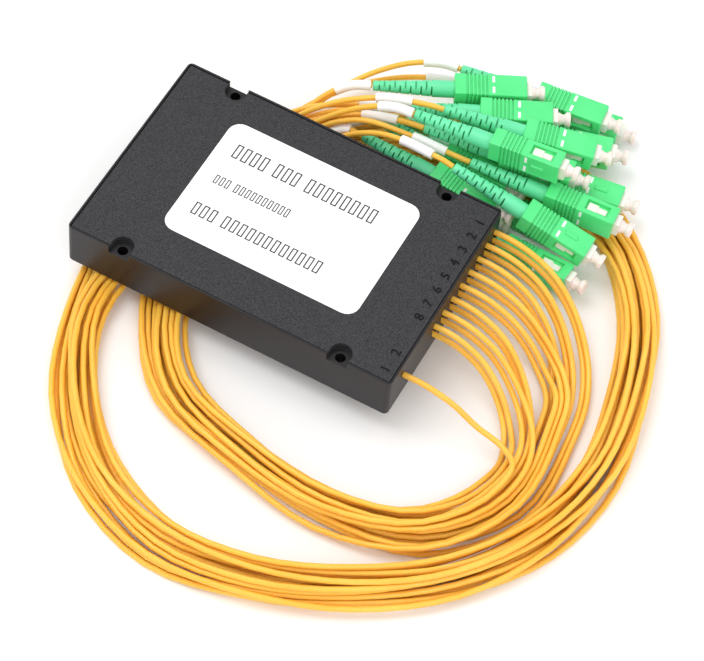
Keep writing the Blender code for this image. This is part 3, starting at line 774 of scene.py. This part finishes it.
def round_cord(name, points, radius, sides, finish):
    """A round cord along the points, as one open curve."""
    curve = bpy.data.curves.new(name, "CURVE")
    curve.dimensions = "3D"
    curve.bevel_depth = radius
    curve.bevel_resolution = sides
    curve.use_fill_caps = True
    spline = curve.splines.new("POLY")
    spline.points.add(len(points) - 1)
    for point, place in zip(spline.points, points):
        point.co = (*place, 1)
    spline.use_smooth = True
    obj = bpy.data.objects.new(name, curve)
    bpy.context.collection.objects.link(obj)
    curve.materials.append(finish)
    return obj


cable_ways = {name: dense(points) for name, points in laid_cables.items()}
for name, points in cable_ways.items():
    cable = round_cord("jacket_" + name, points, CORD_RADIUS, JACKET_SIDES, jacket_pvc)
    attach(cable, "splitter")
    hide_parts("cable_" + name)

# %% [markdown]
# ## One plug, drawn once
#
# Every plug is the same, so each piece is modelled once along X, from the rear of the green
# housing at zero to the dust cap in front, and then copied into its place. The helpers below add
# a rounded block, turn a profile round X, join pieces and cut one out of another, which is all
# that moulded pieces of this kind need. Sizes in the plug's cells are in millimetres.

# %% Drawing helpers
SHARP_EDGE = math.radians(40)
MERGE_WITHIN = 1e-6
TURNED_STEPS = 20


def only(obj):
    """Makes this the only selected object."""
    bpy.ops.object.select_all(action="DESELECT")
    obj.select_set(True)
    bpy.context.view_layer.objects.active = obj
    return obj


def named(name, finish):
    """Names the new primitive and gives it its finish."""
    obj = bpy.context.object
    obj.name = name
    obj.data.name = name
    obj.data.materials.clear()
    obj.data.materials.append(finish)
    return obj


def block(name, low, high, finish, edge=0.0, segments=2):
    """A box between two corners in millimetres, with its edges rounded by edge."""
    low, high = Vector(low) * MM, Vector(high) * MM
    bpy.ops.object.select_all(action="DESELECT")
    bpy.ops.mesh.primitive_cube_add(size=1, location=(low + high) / 2)
    obj = named(name, finish)
    obj.scale = high - low
    bpy.ops.object.transform_apply(location=True, rotation=False, scale=True)
    if edge:
        rounding = obj.modifiers.new("edge", "BEVEL")
        rounding.width = edge * MM
        rounding.segments = segments
        bpy.ops.object.modifier_apply(modifier=rounding.name)
    return obj


def turned(name, profile, finish, steps=TURNED_STEPS):
    """A body of revolution about X from (x, radius) pairs in millimetres."""
    mesh = bpy.data.meshes.new(name)
    places = [(x * MM, 0, radius * MM) for x, radius in profile]
    mesh.from_pydata(places, [(k, k + 1) for k in range(len(places) - 1)], [])
    obj = bpy.data.objects.new(name, mesh)
    bpy.context.collection.objects.link(obj)
    mesh.materials.append(finish)
    only(obj)
    bpy.ops.object.mode_set(mode="EDIT")
    bpy.ops.mesh.select_all(action="SELECT")
    bpy.ops.mesh.spin(steps=steps, angle=math.tau, center=(0, 0, 0), axis=(1, 0, 0))
    bpy.ops.mesh.select_all(action="SELECT")
    bpy.ops.mesh.remove_doubles(threshold=MERGE_WITHIN)
    bpy.ops.mesh.normals_make_consistent(inside=False)
    bpy.ops.object.mode_set(mode="OBJECT")
    bpy.ops.object.shade_smooth_by_angle(angle=SHARP_EDGE)
    return obj


def join(name, pieces):
    """Makes one object of several, named anew."""
    bpy.ops.object.select_all(action="DESELECT")
    for piece in pieces:
        piece.select_set(True)
    bpy.context.view_layer.objects.active = pieces[0]
    bpy.ops.object.join()
    pieces[0].name = name
    return pieces[0]


def carve(obj, tool):
    """Cuts the tool out of the object and removes the tool."""
    only(obj)
    cut = obj.modifiers.new("cut", "BOOLEAN")
    cut.operation = "DIFFERENCE"
    cut.solver = "EXACT"
    cut.object = tool
    bpy.ops.object.modifier_apply(modifier=cut.name)
    bpy.data.objects.remove(tool)
    return obj


# %% [markdown]
# ## The housing
#
# The green housing is the sliding shell that a hand grips to pull the plug out. It is one
# moulding, so it is drawn as one extrusion: the front face of a thin plate is pulled forward
# step by step, and each groove between the ribs is a step that is drawn in. The windows are cut
# through its walls afterwards, because they cross several steps.

# %% The housing
HALF_WIDTH = 4.5
HALF_HEIGHT = 3.7
HOUSING_LENGTH = 25.0
PLATE = 0.4
GROOVE_FIRST = 4.0
GROOVE_PITCH = 1.35
GROOVE_COUNT = 6
GROOVE_DEPTH = 0.3
GROOVE_SLOPE = 0.12
GROOVE_WIDTH = 0.62
NOSE_CHAMFER = 0.4
NOSE_DEPTH = 0.35
MOUTH_WALL = 0.75
MOUTH_DEPTH = 2.0
CORNER_ROUNDING = 0.35
CORNER_ANGLE = math.radians(80)
WINDOW_LOW, WINDOW_HIGH = (13.9, 3.25, -2.1), (22.1, 6.0, 2.1)
KEY_LOW, KEY_HIGH = (15.2, -0.95, 3.5), (19.8, 0.95, 4.2)


def housing_steps():
    """Places along the housing, each with how far its outline is drawn in there."""
    steps = []
    for groove in range(GROOVE_COUNT):
        start = GROOVE_FIRST + groove * GROOVE_PITCH
        steps += [(start, 0.0), (start + GROOVE_SLOPE, GROOVE_DEPTH)]
        steps += [(start + GROOVE_WIDTH - GROOVE_SLOPE, GROOVE_DEPTH), (start + GROOVE_WIDTH, 0.0)]
    return [*steps, (HOUSING_LENGTH - NOSE_CHAMFER, 0.0), (HOUSING_LENGTH, NOSE_DEPTH)]


def both_sides(low, high):
    """The box between two corners and its mirror image across the plug's middle."""
    return [
        ((low[0], -high[1], low[2]), (high[0], -low[1], high[2])),
        (low, high),
    ]


def make_housing():
    """The sliding green shell: ribs at the rear, a key on top and a window in each side."""
    low, high = (0, -HALF_WIDTH, -HALF_HEIGHT), (PLATE, HALF_WIDTH, HALF_HEIGHT)
    shell = only(block("housing", low, high, housing_pbt))
    bpy.ops.object.mode_set(mode="EDIT")
    bpy.ops.mesh.select_mode(type="FACE")
    bpy.ops.mesh.select_all(action="DESELECT")
    bpy.ops.object.mode_set(mode="OBJECT")
    for face in shell.data.polygons:
        face.select = face.normal.x > 0.9
    bpy.ops.object.mode_set(mode="EDIT")
    at, drawn = PLATE, 0.0
    for place, depth in housing_steps():
        bpy.ops.mesh.extrude_region_move(
            TRANSFORM_OT_translate={"value": ((place - at) * MM, 0, 0)}
        )
        if depth != drawn:
            wide = (HALF_WIDTH - depth) / (HALF_WIDTH - drawn)
            high = (HALF_HEIGHT - depth) / (HALF_HEIGHT - drawn)
            bpy.ops.transform.resize(value=(1, wide, high), center_override=(place * MM, 0, 0))
        at, drawn = place, depth
    # The mouth: the front face is drawn in by the wall and then pushed back.
    bpy.ops.mesh.extrude_region_move(TRANSFORM_OT_translate={"value": (0, 0, 0)})
    wide = 1 - MOUTH_WALL / (HALF_WIDTH - drawn)
    high = 1 - MOUTH_WALL / (HALF_HEIGHT - drawn)
    bpy.ops.transform.resize(value=(1, wide, high), center_override=(at * MM, 0, 0))
    bpy.ops.mesh.extrude_region_move(
        TRANSFORM_OT_translate={"value": (-MOUTH_DEPTH * MM, 0, 0)}
    )
    bpy.ops.object.mode_set(mode="OBJECT")
    corners = shell.modifiers.new("edge", "BEVEL")
    corners.width = CORNER_ROUNDING * MM
    corners.segments = 2
    corners.limit_method = "ANGLE"
    corners.angle_limit = CORNER_ANGLE
    bpy.ops.object.modifier_apply(modifier=corners.name)
    for low, high in both_sides(WINDOW_LOW, WINDOW_HIGH):
        carve(shell, block("window", low, high, housing_pbt))
    key = block("key", KEY_LOW, KEY_HIGH, housing_pbt, edge=0.4, segments=3)
    return join("housing", [shell, key])


housing = make_housing()
print("housing", len(housing.data.polygons), "faces")

# %% [markdown]
# ## The marks
#
# A broken white line is printed across each broad face of the housing. Ink is far thinner than
# it can be drawn, so each dash is a low bar that sinks a little into the plastic.

# %% The marks
MARK_FROM, MARK_TO = 12.9, 13.8
MARK_FOOT, MARK_TOP = 3.66, 3.78
MARK_STARTS = (-3.6, 1.0)
MARK_WIDTH = 2.6


def make_marks():
    """Two short white bars in line across each broad face."""
    bars = []
    for face in (-1, 1):
        low, high = sorted((face * MARK_FOOT, face * MARK_TOP))
        for start in MARK_STARTS:
            corners = (MARK_FROM, start, low), (MARK_TO, start + MARK_WIDTH, high)
            bars.append(block("mark", *corners, mark_white))
    return join("marks", bars)


marks = make_marks()
print("marks", len(marks.data.polygons), "faces")

# %% [markdown]
# ## The boot
#
# The boot keeps the cable from bending sharply at the plug. It is a soft tapered sleeve, and
# pairs of slits let it bend: each pair is a quarter turn from the last, so that it bends every
# way. A turned body with blocks cut out of it follows how its mould is made.

# %% The boot
# From the tail to the front, as (place, radius)
BOOT_PROFILE = [
    (-28, 0),
    (-28, 1.6),
    (-27.8, 1.75),
    (-8, 2.85),
    (-7.4, 3.0),
    (0.3, 3.0),
    (0.3, 0),
]
BOOT_STEPS = 24
BOOT_TAIL, BOOT_TAIL_RADIUS, BOOT_TAPER = -28, 1.75, 0.055
SLIT_FIRST = -26.2
SLIT_ROWS = 11
SLIT_PITCH = 1.8
SLIT_WIDTH = 0.55
SLIT_FLOOR = 0.42
SLIT_REACH = 4


def make_boot():
    """A tapered sleeve with pairs of slits, each pair a quarter turn from the last."""
    boot = turned("boot", BOOT_PROFILE, boot_tpe, BOOT_STEPS)
    tools = []
    for row in range(SLIT_ROWS):
        place = SLIT_FIRST + row * SLIT_PITCH
        outer = BOOT_TAIL_RADIUS + (place - BOOT_TAIL) * BOOT_TAPER
        for side in (-1, 1):
            near, far = sorted((side * outer * SLIT_FLOOR, side * SLIT_REACH))
            low, high = (place, near, -SLIT_REACH), (place + SLIT_WIDTH, far, SLIT_REACH)
            if row % 2:
                low, high = (place, -SLIT_REACH, near), (place + SLIT_WIDTH, SLIT_REACH, far)
            tools.append(block("slit", low, high, boot_tpe))
    return carve(boot, join("slits", tools))


boot = make_boot()
print("boot", len(boot.data.polygons), "faces")

# %% [markdown]
# ## The inner frame and the dust cap
#
# The ivory frame shows in the housing's windows and mouth, with the catch and the rib that hold
# the housing on it. The dust cap sits on the ferrule's sleeve in front: a collar, a narrower neck
# and a head to pull it by. It is turned from a profile, for it is round all over.

# %% The inner frame and the cap
FRAME_LOW, FRAME_HIGH = (0.6, -3.0, -2.3), (26.9, 3.0, 2.3)
CATCH_LOW, CATCH_HIGH = (14.6, 2.9, -1.65), (18.2, 3.75, 1.65)
RIB_LOW, RIB_HIGH = (18.1, 2.9, -1.2), (21.4, 3.5, 1.2)
# From the housing's mouth to the tip, as (place, radius)
CAP_PROFILE = [
    (26.8, 0),
    (26.8, 2.3),
    (27.5, 2.35),
    (28.0, 2.0),
    (28.8, 1.75),
    (29.3, 1.95),
    (29.7, 2.5),
    (30.0, 2.65),
    (30.9, 2.65),
    (31.25, 2.35),
    (31.3, 0),
]


def make_frame():
    """The inner frame with a catch and a rib on each side."""
    pieces = [block("frame", FRAME_LOW, FRAME_HIGH, frame_pbt, edge=0.25)]
    catches = both_sides(CATCH_LOW, CATCH_HIGH)
    ribs = both_sides(RIB_LOW, RIB_HIGH)
    for catch, rib in zip(catches, ribs):
        pieces.append(block("catch", *catch, frame_pbt, edge=0.2))
        pieces.append(block("rib", *rib, frame_pbt, edge=0.2))
    return join("frame", pieces)


inner_frame = make_frame()
cap = turned("cap", CAP_PROFILE, cap_pe)
print("frame", len(inner_frame.data.polygons), "cap", len(cap.data.polygons), "faces")

# %% [markdown]
# ## Seventeen plugs
#
# Each plug lies where its cable's last stretch ends. Housing and marks slide on the inner frame,
# as on the real plug, so they ride on the moving body. Boot, frame and cap stay with the cable.
# The mesh is moved and not the object, so that every object stays at the origin.

# %% Plugs in place
def copy_of(master, name, place):
    """A copy with its own mesh, which is moved to its place."""
    copied = bpy.data.objects.new(name, master.data.copy())
    copied.data.name = name
    copied.data.transform(place)
    bpy.context.collection.objects.link(copied)
    return copied


PLUG_SLOTS = {
    "housing": "housing_green",
    "marks": "label_vinyl_white",
    "boot": "boot_green",
    "frame": "label_vinyl_white",
    "cap": "label_vinyl_white",
}
plug_pieces = {}
for name in PILE:
    rear, turn = plug_axes(name)
    place = Matrix.Translation(rear) @ turn.to_4x4()
    plug_pieces[name] = []
    for master, slot in PLUG_SLOTS.items():
        piece = copy_of(bpy.data.objects[master], f"{master}_{name}", place)
        slides = master in ("housing", "marks")
        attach(piece, f"grip_{name}_body" if slides else "splitter")
        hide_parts(("grip_" if slides else "connector_") + name)
        plug_pieces[name].append(piece)
for master in (housing, marks, boot, inner_frame, cap):
    bpy.data.objects.remove(master)
print("plugs", len(plug_pieces))

# %% [markdown]
# ## Number sleeves
#
# A white sleeve is slipped over each jacket behind the boot, so that a fitter can tell the
# cables apart. It is a tube around the cable's own line, so it bends as the cable does, and
# Solidify gives it a wall that reaches almost to the jacket.

# %% Sleeves
SLEEVE_LENGTH = 12.5 * MM
SLEEVE_RADIUS = 1.75 * MM
SLEEVE_POINTS = 9
SLEEVE_SIDES = 4
# Between a sleeve's inner wall and the jacket
SLEEVE_GAP = 0.05 * MM
# How far behind its boot each sleeve begins, in millimetres
SLEEVE_FROM_BOOT = {
    "01": 5,
    "02": 1,
    "03": 0.5,
    "04": 6,
    "05": 4,
    "06": 8,
    "07": 0.5,
    "08": 11,
    "09": 9.5,
    "10": 0.5,
    "11": 9,
    "12": 5,
    "13": 8,
    "14": 8,
    "15": 7,
    "16": 8,
    "in": 5,
}


def stretch(points, start, end):
    """The line's points between two distances from its far end."""
    back = points[::-1]
    along = np.concatenate([[0], np.cumsum(np.linalg.norm(np.diff(back, axis=0), axis=1))])
    places = np.linspace(start, end, SLEEVE_POINTS)
    return np.stack([np.interp(places, along, column) for column in back.T], axis=1)


def make_sleeve(name, gap):
    """A thin tube around the cable's own line, with an open wall at both ends."""
    line = stretch(cable_ways[name], gap, gap + SLEEVE_LENGTH)
    sleeve = only(round_cord("sleeve_" + name, line, SLEEVE_RADIUS, SLEEVE_SIDES, mark_white))
    sleeve.data.use_fill_caps = False
    bpy.ops.object.convert(target="MESH")
    sleeve = bpy.context.object
    wall = sleeve.modifiers.new("wall", "SOLIDIFY")
    wall.thickness = SLEEVE_RADIUS - CORD_RADIUS - SLEEVE_GAP
    wall.offset = -1
    bpy.ops.object.modifier_apply(modifier=wall.name)
    bpy.ops.object.shade_smooth_by_angle(angle=SHARP_EDGE)
    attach(sleeve, "splitter")
    return sleeve


sleeves = {name: make_sleeve(name, gap * MM) for name, gap in SLEEVE_FROM_BOOT.items()}
print("sleeves", len(sleeves))

# %% [markdown]
# ## What the cables are
#
# Each cable is a cord with its real diameter. Its plug and its number sleeve go with it.

# %% [markdown]
# ## The box
#
# The tray and the lid keep their CAD solids, for they hold every wall, pocket and slot. Their
# finishes round the edges in the shading, as a moulded edge of under half a millimetre does.

# %% Finishes of the CAD pieces
CAD_FINISHES = {
    "case_tray": tray_abs,
    "case_lid": lid_abs,
    "label": label_vinyl,
    "splitter_module": steel,
    "module_pad": foam,
    "fibre_fan": tube_clear,
    "input_fibre_tube": tube_clear,
    "output_anchor": resin,
    "input_anchor": resin,
}
for name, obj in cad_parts.items():
    finish = CAD_FINISHES.get(name)
    if name.startswith("cable"):
        finish = jacket_pvc
    elif name.startswith("connector"):
        finish = boot_tpe
    elif name.startswith("grip"):
        finish = housing_pbt
    obj.data.materials.clear()
    obj.data.materials.append(finish)
print("CAD pieces", len(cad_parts))

# %% [markdown]
# ## The label's boxes
#
# The label has three rows of blank boxes, as on a form that is filled in by hand, with the
# place, height and line weight of common label print. Each box is four thin bars of ink that
# stand on the film, which keeps their edges sharp from near and far.

# %% Boxes on the label
LABEL_TOP = 8.95
INK_RISE = 0.03
# Each row in millimetres: left edge, foot, height, step from box to box and line width, and then
# how many boxes each group has
PRINT_ROWS = (
    (-28.4, 12.3, 6.0, 3.36, 0.5, (4, 3, 8)),
    (-28.4, 0.0, 3.7, 2.12, 0.38, (3, 10)),
    (-28.6, -14.5, 5.2, 3.12, 0.48, (3, 12)),
)
BOX_SHARE = 0.66
GROUP_GAP = 0.6


def ink_box(left, foot, wide, tall, line):
    """Four thin bars of ink around a blank field."""
    bars = []
    for x0, y0, x1, y1 in (
        (0, 0, wide, line),
        (0, tall - line, wide, tall),
        (0, line, line, tall - line),
        (wide - line, line, wide, tall - line),
    ):
        low = (left + x0, foot + y0, LABEL_TOP)
        high = (left + x1, foot + y1, LABEL_TOP + INK_RISE)
        bars.append(block("print", low, high, label_ink))
    return bars


printed = []
for left, foot, tall, step, line, groups in PRINT_ROWS:
    for count in groups:
        for _ in range(count):
            printed += ink_box(left, foot, step * BOX_SHARE, tall, line)
            left += step
        left += step * GROUP_GAP
label_print = join("label_print", printed)
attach(label_print, "splitter")
print("print", len(label_print.data.polygons), "faces")

# %% [markdown]
# ## Numerals on the lid
#
# Plain digits beside the exits tell them apart. They are moulded with the lid and stand a little
# proud of it, and their colour is painted far darker than the lid's, as painted shade. A text
# object gives the digits' outlines, and it is made a mesh before its place is applied.

# %% Numerals
NUMERAL_X = 55.7
NUMERAL_SIZE = 4.62
NUMERAL_SINK = 0.05
NUMERAL_EXTRUDE = 0.3
NUMERAL_CURVE = 3
LID_TOP = 8.8
OUTPUT_FIRST_Y = 31.6
OUTPUT_PITCH = 6.22
OUTPUTS = 8
NUMERALS = [(str(number + 1), OUTPUT_FIRST_Y - number * OUTPUT_PITCH) for number in range(OUTPUTS)]
NUMERALS += [("2", -27.9), ("1", -35.2)]


def make_numeral(text, y):
    """A low raised digit whose top points away from the exits."""
    place = Vector((NUMERAL_X, y, LID_TOP - NUMERAL_SINK)) * MM
    bpy.ops.object.select_all(action="DESELECT")
    bpy.ops.object.text_add(location=place)
    digit = bpy.context.object
    digit.data.body = text
    digit.data.size = NUMERAL_SIZE * MM
    digit.data.align_x = "CENTER"
    digit.data.align_y = "CENTER"
    digit.data.extrude = NUMERAL_EXTRUDE * MM
    digit.data.resolution_u = NUMERAL_CURVE
    digit.rotation_euler = (0, 0, math.radians(90))
    bpy.ops.object.convert(target="MESH")
    digit = bpy.context.object
    bpy.ops.object.transform_apply(location=True, rotation=True, scale=True)
    digit.data.materials.clear()
    # The digit takes the finish that is painted dark as shade.
    digit.data.materials.append(numeral_painted_shade)
    return digit


numerals = join("numerals", [make_numeral(text, y) for text, y in NUMERALS])
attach(numerals, "splitter")
print("numerals", len(numerals.data.polygons), "faces")

# %% [markdown]
# ## Bench and light
#
# The product lies on a white sweep in soft light from all sides, with one large lamp above and
# to the left and a weaker one to the right, so shadows are pale and short. The camera, mirrors
# and clear pieces see a plain white room, and the light that the room gives is a little weaker,
# so that white pieces keep their shading.

# %% Bench
BENCH_SIZE = 8

bpy.ops.object.select_all(action="DESELECT")
bpy.ops.mesh.primitive_plane_add(size=BENCH_SIZE, location=(0, 0, FLOOR))
bpy.ops.object.transform_apply(location=True, rotation=False, scale=False)
bench = bpy.context.object
bench.name = "bench"
bench_finish = finish_of(
    "white bench", "#F4F4F4", "#F6F6F6", patch=400, rough=(0.8, 0.9), grain=10, depth=0.001
)
bench.data.materials.append(bench_finish)
print("bench at", round(FLOOR, 4))

# %% Lamps
LAMP_AIM = Vector((0.03, 0, 0))


def lamp(name, place, side, watts):
    """A square area lamp that looks at the product."""
    bpy.ops.object.light_add(type="AREA", location=place)
    made = bpy.context.object
    made.name = name
    made.rotation_euler = (LAMP_AIM - Vector(place)).to_track_quat("-Z", "Y").to_euler()
    made.data.size = side
    made.data.energy = watts


lamp("key", (-0.5, -0.1, 1.3), 0.9, 8)
lamp("fill", (0.9, -0.7, 0.9), 0.8, 4)
scene = bpy.context.scene
scene.view_settings.view_transform = "Standard"

# %% The white room
WHITE = hex_colour("#FFFFFF")
ROOM_STRENGTH = 0.92

world = bpy.data.worlds.new("white room")
scene.world = world
world.use_nodes = True
tree = world.node_tree
tree.nodes.clear()
path = add(tree, "LightPath")
room = add(tree, "Background", Color=WHITE, Strength=ROOM_STRENGTH)
white = add(tree, "Background", Color=WHITE, Strength=1.0)
seen = path.outputs["Is Camera Ray"]
for kind in ("Is Glossy Ray", "Is Transmission Ray"):
    both = add(tree, "Math", operation="ADD", use_clamp=True)
    tree.links.new(seen, both.inputs[0])
    tree.links.new(path.outputs[kind], both.inputs[1])
    seen = both.outputs["Value"]
mixed = add(tree, "MixShader", Fac=seen)
tree.links.new(room.outputs["Background"], mixed.inputs[1])
tree.links.new(white.outputs["Background"], mixed.inputs[2])
add(tree, "OutputWorld", Surface=mixed.outputs["Shader"])
print("world", world.name)
